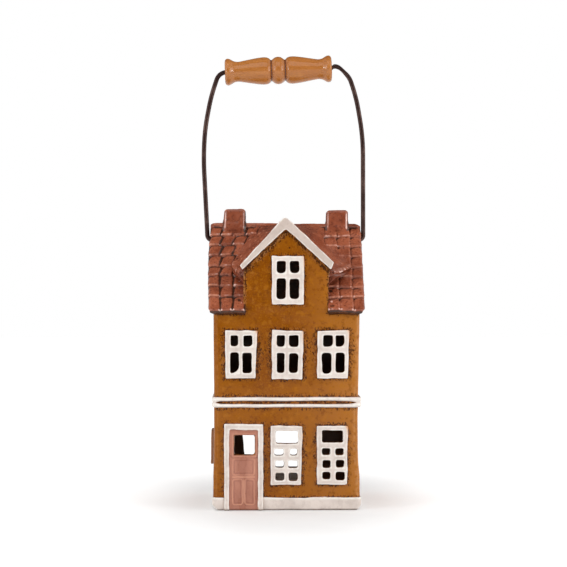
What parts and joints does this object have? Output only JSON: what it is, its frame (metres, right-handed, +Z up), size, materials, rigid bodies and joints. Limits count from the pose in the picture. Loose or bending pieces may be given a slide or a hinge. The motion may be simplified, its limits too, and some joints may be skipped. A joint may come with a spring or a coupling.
{
  "type": "tealight house",
  "caption": "Glazed ceramic town house that holds a tealight, with open window panes, a rear opening, and a swinging wire bail with a turned wooden grip.",
  "frame": {"origin": "middle of the base, on the table", "axes": "+Z up, -Y towards the street front with the door, +X to the right as the front is seen"},
  "size_m": [0.1022, 0.092, 0.2788],
  "materials": {
    "ochre_glaze": "glossy",
    "roof_glaze": "glossy",
    "white_glaze": "glossy",
    "door_glaze": "glossy",
    "bare_clay": "matt",
    "wire": "dark oxide",
    "turned_wood": "waxed",
    "foil": "bright",
    "wax": "waxy",
    "wick": "cotton",
    "sustainer": "tinned"
  },
  "bodies": {
    "house": {"floor_slab": "bare_clay", "front_wall": "ochre_glaze", "back_wall": "ochre_glaze", "left_wall": "ochre_glaze", "right_wall": "ochre_glaze", "dormer_cheek_left": "ochre_glaze", "dormer_cheek_right": "ochre_glaze", "roof_front_left": "roof_glaze", "roof_front_right": "roof_glaze", "roof_back": "roof_glaze", "dormer_roof_left": "roof_glaze", "dormer_roof_right": "roof_glaze", "chimney_left": "roof_glaze", "chimney_right": "roof_glaze", "gable_trim_left": "white_glaze", "gable_trim_right": "white_glaze", "attic_window": "white_glaze", "upper_window_left": "white_glaze", "upper_window_centre": "white_glaze", "upper_window_right": "white_glaze", "ground_window_centre": "white_glaze", "ground_window_right": "white_glaze", "side_window_left": "white_glaze", "side_window_right": "white_glaze", "door_frame": "white_glaze", "string_band_front": "white_glaze", "string_band_left": "white_glaze", "string_band_right": "white_glaze", "plinth_front_left": "white_glaze", "plinth_front_right": "white_glaze", "plinth_back": "white_glaze", "plinth_left": "white_glaze", "plinth_right": "white_glaze", "door_leaf": "door_glaze"},
    "bail": {"bail_wire": "wire"},
    "grip": {"wooden_grip": "turned_wood"},
    "tealight": {"tealight_cup": "foil", "tealight_wax": "wax", "tealight_wick": "wick", "wick_sustainer": "sustainer"}
  },
  "joints": [
    {"name": "bail_swing", "type": "hinge", "parent": "house", "child": "bail", "pos_m": [0, 0, 0.16317], "axis": [1, 0, 0], "range_deg": [-145, 145]},
    {"name": "grip_spin", "type": "hinge", "parent": "bail", "child": "grip", "pos_m": [-0.004, 0, 0.26937], "axis": [0.9994, 0, 0.0349], "continuous": true},
    {"name": "tealight_lift", "type": "slide", "parent": "house", "child": "tealight", "axis": [0, 0.829, 0.5592], "range_m": [0, 0.077]}
  ]
}
